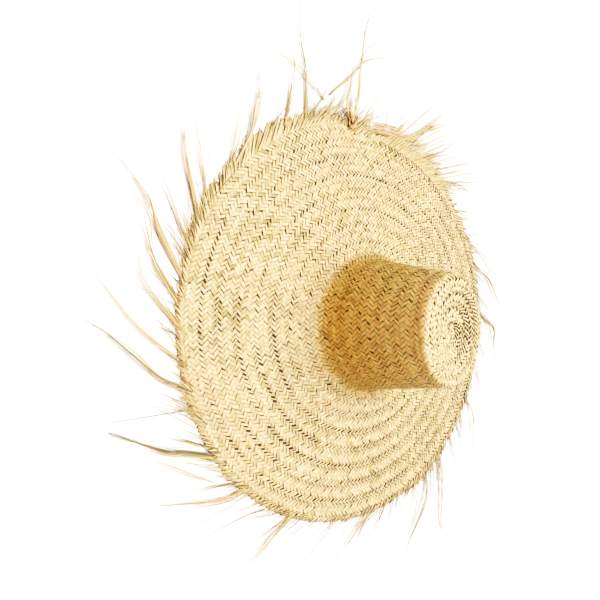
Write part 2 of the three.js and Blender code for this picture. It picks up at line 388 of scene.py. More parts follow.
def strand_rows(start, end, first, holds, hand):
    """Where the strands of one hand lie between two wound angles"""
    rows = {key: [] for key in ("wound", "outer", "drift", "column", "ring", "reach", "pitch")}
    outermost = holds != COLUMNS
    _, _, radius, pitch = turn_at(start, first, holds)
    wound = start + (0 if hand > 0 else 0.5) * math.degrees(pitch / radius)
    while wound < end:
        outer, column, radius, pitch = turn_at(wound, first, holds)
        rows["wound"].append(wound)
        rows["outer"].append(outer)
        rows["drift"].append(outer_side(wound + 1, outermost) - outer_side(wound, outermost))
        rows["column"].append(column)
        rows["ring"].append(radius)
        rows["reach"].append(min(pitch * 0.98, column * 1.2))
        rows["pitch"].append(pitch)
        wound += math.degrees(pitch / radius)
    return {key: np.array(values) for key, values in rows.items()}


def slits(turns, angle, rng):
    """How much the strands narrow by the seam, and in the next column, which opens slits"""
    count = len(turns)
    on_tip = np.interp(turns, TIP_TURNS, (0, 1))
    on_foot = np.interp(turns, FOOT_TURNS, (1, CROWN_SLACK))
    seam, second, spread = (
        np.interp(brim_angle(angle), LOOSE_AT, values)
        for values in (SEAM_SLACK, SECOND_SLACK, SLACK_SPREAD)
    )
    loose = uneven(count, 8, 0.75, 0.35, rng)
    brim_slack = np.clip(seam + spread * (loose - 0.55), LEAST_SLACK, MOST_SLACK) * on_foot
    ring_side = np.clip(TIP_RING_SIDE - np.cos(angle), 0, 1)
    tip_slack = TIP_SLACK[0] + TIP_SLACK[1] * ring_side
    tip_slack = tip_slack * (0.75 + 0.4 * rng.random(count))
    slack = brim_slack + (tip_slack - brim_slack) * on_tip
    opened = uneven(count, 6, 0.6, 0.4, rng)
    gap = np.clip(second + spread * (opened - 0.5) * (second > 0), 0.0, MOST_SLACK)
    return slack, gap * (1 - on_tip) * on_foot


def brim_angle(angle):
    """Angles in degrees from -180 to 180"""
    return (np.degrees(angle) + 180) % 360 - 180


def snugness(turns, angle):
    """How wide the strands are on top, as a share of the pitch"""
    on_tip = np.interp(turns, TIP_TURNS, (0, 1))
    on_brim = np.interp(turns, CROWN_TURNS, (1, 0))
    far_side = np.clip(TIP_FAR_SIDE - np.cos(angle), 0, 1)
    snug = np.interp(turns, (*CROWN_TURNS, *TIP_TURNS), SNUGNESS)
    snug = snug * (1 - TIP_LOOSENESS * far_side * on_tip)
    snug = np.where(turns > TIP_MIDDLE_TURN, np.maximum(snug, MIDDLE_SNUGNESS), snug)
    by_side = np.interp(brim_angle(angle), LOOSE_AT, BRIM_SNUG)
    return snug * (1 + (by_side - 1) * on_brim)


def strand_seeds(start, end, first, holds, hand, rng):
    """One seed for each strand of one hand between two wound angles"""
    seeds = strand_rows(start, end, first, holds, hand)
    count = len(seeds["wound"])
    step_angle = np.degrees(seeds["pitch"] / seeds["ring"])
    seeds["wound"] = seeds["wound"] + rng.normal(0, UNEVEN_PLACE, count) * step_angle
    seeds["hand"] = np.full(count, float(hand))
    turns = seeds["wound"] / 360
    angle = np.radians(seeds["wound"] + END_ANGLE)
    slack, gap = slits(turns, angle, rng)
    seeds["slack"] = slack * (hand < 0)
    seeds["gap"] = gap * (hand > 0)
    seeds["wide"] = seeds["pitch"] * UNDER_WIDTH * (1 + rng.normal(0, UNEVEN_WIDTH, count))
    narrowed = 1 - snugness(turns, angle) / UNDER_WIDTH
    seeds["open"] = narrowed + rng.normal(0, UNEVEN_OPENING, count)
    seeds["loft"] = rng.normal(0, UNEVEN_HEIGHT, count)
    seeds["cant"] = rng.normal(0, UNEVEN_CANT, count) + MEAN_CANT
    seeds["tint"] = rng.random(count)
    seeds["hue"] = rng.random(count) * MOST_HUE
    return seeds


SECTION = [(-0.5, -0.1), (0.0, -0.5), (0.5, -0.1), (0.3, 0.5), (-0.3, 0.5)]


def strap_mesh(name, first, last, tuck):
    """A strand across its columns: a five-sided strip whose points know their place in it"""
    stops = [first - TUCK]
    for column in range(first, last):
        stops += [column, column + 0.3, column + 0.7]
    stops += [last, last + tuck]
    along = np.repeat(stops, len(SECTION))
    side = np.tile([s for s, _ in SECTION], len(stops))
    rise = np.tile([r for _, r in SECTION], len(stops))
    sides = len(SECTION)
    faces = []
    for i in range(len(stops) - 1):
        for k in range(sides):
            a, b = i * sides + k, i * sides + (k + 1) % sides
            faces.append((a, b, b + sides, a + sides))
    faces.append(tuple(reversed(range(sides))))
    faces.append(tuple(range((len(stops) - 1) * sides, len(stops) * sides)))
    mesh = bpy.data.meshes.new(name)
    mesh.from_pydata([(s, a, r) for s, a, r in zip(side, along, rise)], [], faces)
    for label, values in (("along", along), ("side", side), ("rise", rise)):
        mesh.attributes.new(label, "FLOAT", "POINT").data.foreach_set("value", values.astype(np.float32))
    return bpy.data.objects.new(name, mesh)


def new_tree(name, inputs):
    tree = bpy.data.node_groups.new(name, "GeometryNodeTree")
    tree.interface.new_socket("Geometry", in_out="INPUT", socket_type="NodeSocketGeometry")
    for label, kind in inputs.items():
        tree.interface.new_socket(label, in_out="INPUT", socket_type=kind)
    tree.interface.new_socket("Geometry", in_out="OUTPUT", socket_type="NodeSocketGeometry")
    return tree, tree.nodes.new("NodeGroupInput"), tree.nodes.new("NodeGroupOutput")


WORK_VALUES = (
    "along", "side", "rise", "wound", "outer", "drift", "column", "ring", "reach",
    "hand", "slack", "gap", "open", "wide", "loft", "cant", "half", "twist", "pitch",
)


def marked(tree, geometry, grain, shade=None):
    """Keeps what the finish needs: the place across and along each straw, and how hidden it is, as
    painted shade
    """
    kept = step(
        tree, "GeometryNodeStoreNamedAttribute", {"data_type": "FLOAT_VECTOR", "domain": "POINT"},
        Geometry=geometry, Name="grain", Value=grain,
    ).outputs[0]
    if shade is not None:
        kept = step(
            tree, "GeometryNodeStoreNamedAttribute", {"data_type": "FLOAT", "domain": "POINT"},
            Geometry=kept, Name="shade", Value=shade,
        ).outputs[0]
    for name in WORK_VALUES:
        kept = step(tree, "GeometryNodeRemoveAttribute", Geometry=kept, Name=name).outputs[0]
    return kept


def weave_wave(along, hand):
    """Over its own columns and under the others, with flat tops and steep steps"""
    wave = ((along * math.pi).sum("SINE") * WAVE_STEEPNESS).clamped(-1.0, 1.0) * hand * -1.0
    inside = along.sum("LESS_THAN", COLUMNS + 0.01)
    return (wave + UNDER_LAP) * inside - UNDER_LAP


def strand_width(tree, along, wave, wide):
    """Narrower on top, most of all in the two columns by the seam, which leaves slits, dark with the
    painted shade of the strands beneath
    """
    slack, gap, opened = (read(tree, n) for n in ("slack", "gap", "open"))
    in_seam = along.smooth(*BY_SEAM, 1.0, 0.0)
    in_second = along.smooth(*SECOND_FROM) * along.smooth(*SECOND_TO, 1.0, 0.0)
    on_top = wave.smooth(*NARROWS_AT)
    strand = wide * (in_seam * slack * -1.0 + 1.0) * (in_second * gap * -1.0 + 1.0)
    return strand * (on_top * opened * -1.0 + 1.0)


def height_off_line(tree, out, along, side, rise, wave, strand):
    """The weave, the turn's bulge and the strand's own thickness and cant"""
    loft, cant = read(tree, "loft"), read(tree, "cant")
    thick, lift, crest, wall = (
        Term(tree, out[n]) for n in ("Strand Thickness", "Weave Lift", "Row Crest", "Wall")
    )
    bulge = ((along - 0.5) * (2 * math.pi / COLUMNS)).sum("COSINE") * -0.5 + 0.5
    return wave * lift + bulge * crest + loft + rise * thick + side * cant * strand - wall * 0.5


def plait_shade(out, rise, wave, parted):
    """Painted shade: darker where a strand goes under, and low on the sides of the strands that stand
    apart
    """
    hidden = (wave * -1.0).smooth(*HIDES_AT, 0.0, HIDDEN_SHADE)
    low_side = (rise * -1.0 + 0.5).smooth(*SIDE_SHADE_AT)
    at_side = (low_side * (parted * PARTED_SHADE + out["Edge Shade"])).clamped(0.0, DARKEST_SIDE)
    return hidden.sum("MAXIMUM", at_side)


def place_on_hat(tree, line, length, raised, turned):
    """A point by its length along the outer line, its height off it and its wound angle"""
    sample = step(tree, "GeometryNodeSampleCurve", {"mode": "LENGTH"}, Curves=line.outputs["Geometry"])
    feed(tree, sample.inputs["Length"], length)
    place = split(tree, sample.outputs["Position"])
    course = split(tree, sample.outputs["Tangent"])
    far = place[0] + course[2] * raised
    tall = (place[2] - course[0] * raised).sum("MAXIMUM", LOWEST)
    angle = (turned + END_ANGLE) * (math.pi / 180)
    lean = tall.smooth(WALL + BRIM_RISE, CROWN_HEIGHT, 0.0, math.tan(math.radians(TIP_TILT)))
    front = angle.sum("COSINE") * far
    return combined(
        tree,
        angle.sum("SINE") * far + AXIS.x,
        front * -1.0 + AXIS.y,
        tall + lean * front,
    )


def plait_tree():
    """Lays a strap for each seed across its turn, over and under its neighbours, on the hat's line"""
    tree, given, result = new_tree("Plait", {
        "Strap": "NodeSocketObject",
        "Outer Line": "NodeSocketObject",
        "Strand Thickness": "NodeSocketFloat",
        "Weave Lift": "NodeSocketFloat",
        "Row Crest": "NodeSocketFloat",
        "Wall": "NodeSocketFloat",
        "Edge Shade": "NodeSocketFloat",
        "Straw": "NodeSocketMaterial",
    })
    out = given.outputs
    strap = step(tree, "GeometryNodeObjectInfo", Object=out["Strap"])
    line = step(tree, "GeometryNodeObjectInfo", Object=out["Outer Line"])
    points = step(tree, "GeometryNodeMeshToPoints", Mesh=out["Geometry"])
    laid = step(
        tree, "GeometryNodeInstanceOnPoints",
        Points=points.outputs[0], Instance=strap.outputs["Geometry"],
    )
    real = step(tree, "GeometryNodeRealizeInstances", Geometry=laid.outputs[0])

    along, side, rise = (read(tree, n) for n in ("along", "side", "rise"))
    wound, outer, drift, column = (read(tree, n) for n in ("wound", "outer", "drift", "column"))
    ring, reach, hand, wide = (read(tree, n) for n in ("ring", "reach", "hand", "wide"))

    wave = weave_wave(along, hand)
    strand = strand_width(tree, along, wave, wide)
    across = side * strand
    run = (column * column + reach * reach).sum("SQRT")
    forward = (along - COLUMNS / 2) * hand * reach + across * column / run
    inward = along * column - hand * across * reach / run
    turned = wound + (forward / ring) * (180 / math.pi)
    length = outer + drift * (turned - wound) + inward + START_LENGTH
    raised = height_off_line(tree, out, along, side, rise, wave, strand)
    spot = place_on_hat(tree, line, length, raised, turned)
    moved = step(tree, "GeometryNodeSetPosition", Geometry=real.outputs[0], Position=spot)
    grain = combined(tree, side * strand, along * run, wound * ROW_GRAIN)
    parted = strand / wide * -1.0 + 1.0
    kept = marked(tree, moved.outputs[0], grain, plait_shade(out, rise, wave, parted))
    smooth = step(tree, "GeometryNodeSetShadeSmooth", Geometry=kept)
    ended = step(tree, "GeometryNodeSetMaterial", Geometry=smooth.outputs[0], Material=out["Straw"])
    tree.links.new(ended.outputs[0], result.inputs[0])
    return tree


EDGE_STRAND = BRIM_PITCH * 0.68


def plait_piece(name, stretches, tree, line, edge_shade, material, rng):
    """Stretches of the plait as one mesh"""
    parts = []
    for start, end, first, last, holds in stretches:
        for hand in (1, -1):
            own_first = 1 if hand > 0 and first == 0 else first
            tuck = SEAM_LAP if hand > 0 and last == COLUMNS else TUCK
            strap = strap_mesh(f"strap_{hand}", own_first, last, tuck)
            seeds = seed_mesh(name, strand_seeds(start, end, first, holds, hand, rng))
            parts.append(grown(f"{name}_{len(parts)}", seeds, tree, {
                "Strap": strap,
                "Outer Line": line,
                "Strand Thickness": STRAND_THICK,
                "Weave Lift": WEAVE_LIFT,
                "Row Crest": ROW_CREST,
                "Wall": WALL,
                "Edge Shade": edge_shade,
                "Straw": material,
            }))
            bpy.data.objects.remove(strap)
    return joined(name, parts)


def joined(name, parts):
    """One object of several, with every face where it was"""
    piece = parts[0]
    if len(parts) > 1:
        with bpy.context.temp_override(active_object=piece, selected_editable_objects=parts):
            bpy.ops.object.join()
    piece.name = name
    piece.data.name = name
    return piece


# Loose straws: the cut ends along the edge, the long straws and the knot

def around(degrees, radius, height):
    """A point by its angle, its distance from the crown's axis and its height"""
    angle = math.radians(degrees)
    return np.array((AXIS.x + math.sin(angle) * radius, AXIS.y - math.cos(angle) * radius, height))


def smooth_path(points, steps):
    """A smooth curve through a few points (Catmull-Rom), evenly stepped between each two"""
    points = np.asarray(points, float)
    ends = np.vstack([2 * points[0] - points[1], points, 2 * points[-1] - points[-2]])
    path = []
    for a, b, c, d in zip(ends, ends[1:], ends[2:], ends[3:]):
        for share in np.arange(steps) / steps:
            path.append(0.5 * (
                2 * b + (c - a) * share
                + (2 * a - 5 * b + 4 * c - d) * share**2
                + (3 * b - a - 3 * c + d) * share**3
            ))
    return np.vstack([path, points[-1]])


class LooseStraws:
    """Paths of straws, each point with its half width and twist, to be made as one piece"""

    def __init__(self, rng):
        self.rng = rng
        self.points = []
        self.edges = []
        self.values = {key: [] for key in ("half", "twist", "along", "tint", "hue", "shade")}

    def add(self, path, widths, twists=(0.0, 0.0), tint=None, hue=None, shade=0.0):
        """widths and twists go evenly from the path's start to its end"""
        path = np.asarray(path, float)
        count = len(path)
        length = np.concatenate([[0], np.cumsum(np.linalg.norm(np.diff(path, axis=0), axis=1))])
        share = length / length[-1]
        first = len(self.points)
        self.points.extend(path)
        self.edges.extend((first + i, first + i + 1) for i in range(count - 1))
        at = np.linspace(0, 1, len(widths))
        self.values["half"].extend(np.interp(share, at, widths) / 2)
        self.values["twist"].extend(np.interp(share, np.linspace(0, 1, len(twists)), twists))
        self.values["along"].extend(length)
        self.values["tint"].extend([self.rng.random() if tint is None else tint] * count)
        self.values["hue"].extend([self.rng.random() if hue is None else hue] * count)
        # shade is the share of painted shade on this straw
        self.values["shade"].extend([shade] * count)

    def mesh(self, name):
        seeds = seed_mesh(name, self.values)
        seeds.vertices.foreach_set("co", np.array(self.points, np.float32).ravel())
        seeds.edges.add(len(self.edges))
        seeds.edges.foreach_set("vertices", np.array(self.edges, np.int32).ravel())
        return seeds


def straw_tree():
    """Sweeps a flat straw along each path, as wide and as twisted as its points say"""
    tree, given, result = new_tree("Loose Straws", {
        "Flatness": "NodeSocketFloat",
        "Sides": "NodeSocketInt",
        "Straw": "NodeSocketMaterial",
    })
    out = given.outputs
    paths = step(tree, "GeometryNodeMeshToCurve", Mesh=out["Geometry"])
    level = step(tree, "GeometryNodeSetCurveNormal", {"mode": "Z_UP"}, Curve=paths.outputs[0])
    turned = step(tree, "GeometryNodeSetCurveTilt", Curve=level.outputs[0], Tilt=read(tree, "twist"))
    round_ = step(tree, "GeometryNodeCurvePrimitiveCircle", Resolution=out["Sides"], Radius=1.0)
    flat = step(
        tree, "GeometryNodeTransform",
        Geometry=round_.outputs["Curve"], Scale=combined(tree, 1.0, out["Flatness"], 1.0),
    )
    place = step(tree, "GeometryNodeInputPosition")
    side = split(tree, place.outputs[0])[0] * 0.5
    known = step(
        tree, "GeometryNodeStoreNamedAttribute", {"data_type": "FLOAT", "domain": "POINT"},
        Geometry=flat.outputs[0], Name="side", Value=side,
    )
    swept = step(
        tree, "GeometryNodeCurveToMesh",
        Curve=turned.outputs[0], Profile_Curve=known.outputs[0],
        Scale=read(tree, "half"), Fill_Caps=True,
    )
    across = read(tree, "side") * read(tree, "half") * 2.0
    grain = combined(tree, across, read(tree, "along"), read(tree, "hue") * 300.0)
    smooth = step(tree, "GeometryNodeSetShadeSmooth", Geometry=marked(tree, swept.outputs[0], grain))
    ended = step(tree, "GeometryNodeSetMaterial", Geometry=smooth.outputs[0], Material=out["Straw"])
    tree.links.new(ended.outputs[0], result.inputs[0])
    return tree


# How far out the bases of the loose ends reach, by angle
ENDS_REACH_AT = (
    -181, -157, -146, -117, -106, -95, -83, -68, -46, -32, -19,
    -12, -3, 24, 45, 60, 84, 110, 124, 139, 152, 179,
)
ENDS_REACH = (  # in mm
    296, 294, 300, 301, 304, 303, 301, 313, 315, 308, 305,
    301, 297, 292, 295, 291.5, 290, 294, 300, 297, 294, 296,
)


def ends_reach(degrees):
    return np.interp((degrees + 181) % 360 - 181, ENDS_REACH_AT, ENDS_REACH) / 1000


SWEEP = math.radians(50)
# How much painted shade darkens the straw ends under the edge, by angle
UNDER_SHADE_AT = (-82, -60, -20, 5, 130, 170, 282)
UNDER_SHADE = (0.12, 0.18, 0.30, 0.75, 0.65, 0.45, 0.18)


def swept_path(degrees, radius, reach, sweep, heights):
    """A straight path in plan that leaves the edge at an angle from the radial, against the turn"""
    heights = np.asarray(heights, float)
    shares = np.linspace(0, 1, len(heights))
    start = around(degrees, radius, 0)
    out = around(degrees - math.degrees(sweep), 1.0, 0) - np.array((AXIS.x, AXIS.y, 0))
    length = reach / math.cos(sweep)
    return start + shares[:, None] * out * length + heights[:, None] * np.array((0, 0, 1.0))


NEAT_ENDS = (-76, -6)
UNDER_HEIGHTS = (0.0010, 0.0012, 0.0010, 0.0007)


def bowed(path, bow):
    """The path bent sideways, most at its tip"""
    across = np.cross((0, 0, 1.0), path[-1] - path[0])
    across /= np.linalg.norm(across)
    return path + across * bow * np.linspace(0, 1, len(path))[:, None] ** 2


def edge_ends(rng):
    """The strands that run out past the edge, cut short, and the straw ends under them, darkened with
    painted shade
    """
    ends = LooseStraws(rng)
    wound = 0.0
    clump = rng.normal(0, 1, 400)
    index = 0
    while wound < 360:
        degrees = END_ANGLE + wound
        edge = float(edge_radius(wound))
        reach = float(ends_reach(degrees)) - edge
        pull = 0.10 * clump[index // 3] + rng.normal(0, 0.05)
        sweep = SWEEP + pull
        neat = NEAT_ENDS[0] < degrees < NEAT_ENDS[1]
        extra = 0.004 + max(reach + rng.normal(0, 0.0008 if neat else 0.0018), 0.0005)
        wide = EDGE_STRAND * ((1.12 if neat else 0.92) + rng.normal(0, 0.06))
        tip = wide * 0.3 if neat else 0.0005
        for half in (-1, 1):
            own = extra * (1 + rng.normal(0, 0.05 if neat else 0.16))
            shift = math.degrees(half * wide * 0.22 / edge)
            path = swept_path(
                degrees + shift, edge - 0.004, own, sweep + half * 0.05 + rng.normal(0, 0.04),
                (0.0026, 0.0030, 0.0027, 0.0020 + rng.normal(0, 0.0003), 0.0013),
            )
            widths = (wide * 0.55, wide * 0.55, wide * 0.4, tip)
            ends.add(smooth_path(path, 2), widths, (0.1 * half, 0.3 * half))
        # Painted shade on the straw end under this one
        dark = np.interp(degrees, UNDER_SHADE_AT, UNDER_SHADE)
        under = swept_path(
            degrees - 0.6, edge - 0.004, 0.003 + max(reach * 0.9, 0.001) + rng.normal(0, 0.001),
            sweep, UNDER_HEIGHTS,
        )
        ends.add(under, (wide * 1.1, wide * 1.1, wide * 0.8), (0.0, 0.1), shade=float(dark))
        wound += math.degrees(BRIM_PITCH / edge)
        index += 1
    return ends


# The long straws, as (straws, width in mm, points of angle and radius / 300 mm from root to tip)
LOCKS = [
    (1, 1.6, (-72.5, 1.12), (-80, 1.23), (-83.5, 1.31), (-91, 1.40)),
    (1, 1.2, (-84, 1.34), (-88, 1.43), (-91, 1.5)),
    (2, 1.8, (-70.5, 1.095), (-67, 1.18), (-63.5, 1.26), (-59, 1.36)),
    (2, 2.0, (-63, 1.02), (-66, 1.2), (-67, 1.35), (-68.5, 1.52)),
    (2, 1.8, (-56, 1.02), (-62, 1.17), (-63.8, 1.27), (-65, 1.35)),
    (1, 1.4, (-57, 1.03), (-62.5, 1.2)),
    (3, 2.4, (-38, 1.0), (-46, 1.06), (-50, 1.13), (-53, 1.2), (-54.7, 1.28)),
    (1, 1.4, (-35, 1.0), (-45, 1.14), (-48, 1.23)),
    (2, 1.6, (-26, 1.0), (-35, 1.18), (-38, 1.27)),
    (3, 2.4, (-21.5, 1.0), (-30, 1.16), (-34.5, 1.25)),
    (3, 2.6, (-8, 0.99), (-15, 1.12), (-19.5, 1.2), (-23.3, 1.34)),
    (1, 1.0, (-12, 1.12), (-17, 1.2), (-21.5, 1.45)),
    (2, 1.5, (-15, 1.0), (-24, 1.2)),
    (3, 2.4, (-2, 0.985), (-9, 1.1), (-14.5, 1.18)),
    (2, 1.8, (3, 0.985), (-5, 1.12), (-10, 1.17)),
    (2, 1.6, (11, 0.98), (3, 1.14), (-5.7, 1.32)),
    (3, 2.4, (18, 0.975), (14, 1.06), (9, 1.14), (4, 1.25), (2.3, 1.3)),
    (1, 1.2, (28, 0.975), (19, 1.12)),
    (3, 2.6, (36, 0.975), (31, 1.06), (27.5, 1.13), (22, 1.25), (20, 1.27)),
    (2, 1.6, (33, 0.975), (25.5, 1.11)),
    (2, 1.4, (41, 1.03), (34, 1.1), (28.5, 1.17)),
    (3, 2.4, (49, 0.975), (45, 1.06), (37, 1.23)),
    (1, 1.4, (45, 0.98), (38, 1.12)),
    (1, 1.4, (58, 0.98), (52, 1.06), (46, 1.27)),
    (3, 2.2, (67, 0.967), (64, 1.05), (61.5, 1.15), (58.3, 1.31)),
    (1, 1.4, (66, 0.97), (59, 1.13)),
    (1, 0.8, (84, 0.97), (74, 1.15)),
    (2, 1.8, (95, 0.965), (91, 1.03), (86, 1.15)),
    (1, 1.4, (97, 0.965), (92, 1.08)),
    (1, 1.2, (105, 0.965), (97, 1.09)),
    (1, 1.2, (109, 0.965), (106, 1.05)),
    (2, 2.0, (123, 0.965), (121, 1.05), (117, 1.13), (110, 1.23), (108, 1.3)),
    (1, 1.2, (118, 1.03), (112, 1.14), (102, 1.26), (99, 1.3)),
    (2, 1.8, (128, 0.965), (125, 1.05), (121, 1.22)),
    (3, 2.2, (131, 0.965), (129, 1.05), (126, 1.16), (122, 1.3), (121.8, 1.5)),
    (1, 1.4, (134, 0.97), (128, 1.1)),
    (2, 1.6, (140, 0.97), (135, 1.14), (132.5, 1.22)),
    (1, 1.4, (145, 0.97), (139, 1.15)),
    (1, 1.4, (149, 0.97), (146, 1.04)),
    (3, 2.2, (155, 0.965), (151.5, 1.07), (145, 1.17), (142, 1.25)),
    (1, 0.8, (160, 1.1), (152, 1.28), (152, 1.5)),
    (1, 1.4, (170, 0.97), (160, 1.12), (156, 1.2)),
    (3, 2.2, (188, 0.97), (184, 1.05), (181, 1.12), (176, 1.14), (170, 1.2)),
    (1, 1.4, (194, 0.97), (186, 1.13)),
    (3, 2.2, (205, 0.97), (200, 1.07), (194, 1.14), (184.5, 1.26)),
    (3, 2.2, (214, 0.97), (208, 1.07), (203, 1.12), (195, 1.2)),
    (1, 1.0, (225, 0.97), (218, 1.13), (214, 1.21), (206, 1.5)),
    (1, 1.4, (228, 0.97), (221, 1.1)),
    (2, 1.6, (240, 0.98), (232, 1.1), (224, 1.2)),
    (1, 1.4, (246, 0.97), (238, 1.12)),
    (2, 1.6, (252, 0.97), (244, 1.12), (240, 1.22)),
    (3, 2.6, (262, 0.98), (257, 1.07), (253, 1.15), (246, 1.33)),
    (3, 2.4, (258, 1.0), (250, 1.28), (247, 1.39)),
    (2, 1.8, (265, 0.99), (260, 1.15)),
]
LOCK_UNIT = 0.300
LOCK_RISE = 0.0055
THIN_LOCK = 1.3
LOCK_HUES = (OCHRE, OCHRE, PINK, OLIVE, BROWN, DARK_OLIVE)
THIN_LOCK_HUES = (OLIVE, OCHRE, DARK_OLIVE)


def lock_straws(rng):
    """Each lock as a few straws that lie together at the root and part towards their tips"""
    straws = LooseStraws(rng)
    for count, width, *points in LOCKS:
        tint = rng.random()
        count += 1 if width > THIN_LOCK else 0
        for number in range(count):
            shorter = 1 - 0.16 * number * rng.random()
            spread = (number - (count - 1) / 2) * width / 1000 * 0.85
            path = []
            rise = LOCK_RISE * (0.6 + 0.5 * rng.random())
            for k, (degrees, radius) in enumerate(points):
                share = k / (len(points) - 1)
                far = LOCK_UNIT * radius
                shift = spread * (1 - 0.3 * share) + rng.normal(0, 0.0055) * share
                height = 0.0026 + rise * math.sin(math.pi * share) - 0.0012 * share
                path.append(around(degrees + math.degrees(shift / far), far, height))
            curve = smooth_path(path, 8)
            curve = curve[: max(int(len(curve) * shorter), 6)]
            wide = width / 1000 * (0.65 + 0.4 * rng.random())
            straws.add(
                curve, (wide, wide, wide * 0.85, wide * 0.6, wide * 0.3),
                (rng.normal(0, 0.3), rng.normal(0, 0.9)), tint=tint * 0.7 + rng.random() * 0.3,
                hue=rng.choice(LOCK_HUES if width > THIN_LOCK else THIN_LOCK_HUES),
            )
    return straws


HAIRS = 190
HAIR_HEIGHTS = (0.0022, 0.004, 0.005, 0.004, 0.002)
HAIR_HUES = (OCHRE, OLIVE, DARK_OLIVE)


def hair_straws(rng):
    """Fine hairs that stand out all round the edge"""
    hairs = LooseStraws(rng)
    for _ in range(HAIRS):
        degrees = rng.uniform(-180, 180)
        length = 0.018 + 0.10 * rng.random() ** 2.2
        sweep = SWEEP + rng.normal(0.05, 0.28)
        reach = length * math.cos(sweep)
        heights = np.array(HAIR_HEIGHTS) + rng.normal(0, 0.0006, 5).clip(-0.001, 0.001)
        path = swept_path(degrees, float(ends_reach(degrees)) - 0.005, reach, sweep, heights)
        path = bowed(path, rng.normal(0, 0.10) * length)
        wide = rng.uniform(0.0005, 0.0012)
        hue = rng.choice(HAIR_HUES)
        hairs.add(smooth_path(path, 4), (wide, wide * 0.8, wide * 0.3), tint=rng.random(), hue=hue)
    return hairs


# The knotted end: (width in mm, hue, points of angle, radius in mm and height in mm)
KNOT_AT = (-78.6, 301.5, 9.0)
KNOT_STRAWS = [
    (4.0, OCHRE, (-79.2, 296.3, 6), (-79.1, 319.0, 11), (-79.9, 340.9, 15), (-80.0, 361.1, 18),
     (-81.2, 384.0, 18), (-81.7, 399.6, 17), (-82.9, 429.9, 14), (-84.4, 457.0, 10), (-85.7, 482.0, 5)),
    (3.4, OLIVE, (-78.7, 298.6, 7), (-79.7, 322.0, 12), (-80.2, 339.5, 16), (-80.3, 361.5, 18),
     (-81.1, 383.0, 17), (-82.3, 410.7, 14), (-83.1, 435.5, 11)),
    (2.4, OLIVE, (-79.4, 304.4, 8), (-79.2, 331.1, 13), (-79.5, 350.1, 16), (-80.2, 371.2, 15)),
    (3.0, OCHRE, (-77.6, 300.8, 7), (-76.6, 324.6, 10), (-77.7, 342.9, 12), (-78.7, 363.5, 12),
     (-79.7, 378.2, 10)),
    (1.8, OCHRE, (-78.0, 303.9, 7), (-77.1, 322.5, 9), (-77.9, 342.3, 10), (-79.4, 361.2, 9)),
    (2.0, OCHRE, (-78.4, 311.7, 10), (-78.6, 319.7, 12), (-80.0, 315.4, 11), (-80.9, 320.6, 11)),
    (1.2, DARK_OLIVE, (-73.8, 303.2, 4), (-75.8, 312.6, 7), (-78.0, 326.3, 8), (-80.3, 342.6, 8)),
    (1.1, OLIVE, (-75.3, 321.5, 5), (-76.1, 311.4, 7), (-77.5, 303.3, 8)),
    (0.9, OLIVE, (-80.1, 372.8, 14), (-81.5, 380.2, 15), (-86.3, 404.2, 12), (-90.6, 423.1, 7)),
    (1.1, DARK_OLIVE, (-80.5, 382.5, 16), (-81.8, 393.0, 16), (-84.6, 415.3, 13), (-90.6, 451.2, 6)),
    (1.7, DARK_OLIVE, (-72.1, 333.9, 4), (-75.5, 350.7, 9), (-78.1, 362.0, 14), (-81.1, 377.6, 16)),
    (2.2, OLIVE, (-79.2, 286.5, 5), (-80.5, 293.4, 9), (-82.0, 302.4, 12), (-82.9, 312.9, 14),
     (-84.6, 323.8, 14), (-86.0, 333.7, 13), (-86.8, 344.5, 12)),
    (2.2, OCHRE, (-78.4, 289.0, 5), (-80.8, 296.2, 10), (-82.6, 305.6, 13), (-82.5, 316.9, 14)),
    (2.4, OCHRE, (-80.1, 286.0, 4), (-82.7, 298.5, 8), (-85.1, 307.6, 11), (-85.5, 316.8, 12),
     (-85.1, 325.2, 12)),
    (2.0, PINK, (-81.5, 292.2, 6), (-83.5, 303.1, 10), (-85.5, 305.4, 10), (-88.8, 305.1, 7),
     (-90.8, 304.4, 5)),
    (1.9, OCHRE, (-81.8, 300.3, 9), (-83.6, 309.9, 12), (-85.3, 310.9, 11), (-84.3, 304.0, 10),
     (-82.7, 301.5, 8)),
    (0.8, OLIVE, (-81.7, 347.8, 10), (-83.3, 342.0, 12), (-85.0, 332.9, 13), (-87.1, 321.7, 9),
     (-89.5, 310.0, 5)),
    (1.0, DARK_OLIVE, (-89.7, 377.0, 8), (-88.9, 361.8, 10), (-87.8, 346.4, 12), (-85.8, 332.0, 13),
     (-84.9, 323.1, 13)),
    (0.7, OCHRE, (-85.8, 335.2, 12), (-89.5, 350.6, 10), (-92.5, 364.8, 8), (-96.8, 392.9, 5)),
    (0.9, PINK, (-86.9, 323.3, 8), (-89.9, 309.1, 5), (-91.4, 305.7, 4)),
    (1.1, DARK_OLIVE, (-91.3, 325.8, 8), (-91.9, 319.0, 6), (-92.0, 306.8, 4)),
    (0.9, DARK_OLIVE, (-98.5, 340.4, 6), (-97.0, 331.3, 5), (-93.9, 309.2, 3.5)),
    (3.2, OCHRE, (-79.7, 282.8, 4), (-81.2, 287.9, 5), (-82.7, 294.7, 6)),
    (3.4, PINK, (-99.5, 303.9, 4), (-104.2, 331.0, 6), (-109.3, 364.0, 5), (-113.8, 397.2, 3)),
    (2.0, OCHRE, (-100.4, 303.0, 4), (-105.5, 333.0, 6), (-110.0, 359.0, 5)),
]
KNOT_SIZE = (0.0045, 0.0029, 0.0030)
KNOT_HUES = (OCHRE, 0.78, OCHRE, 0.74)
KNOT_WIDTHS = (0.0026, 0.0030, 0.0026)


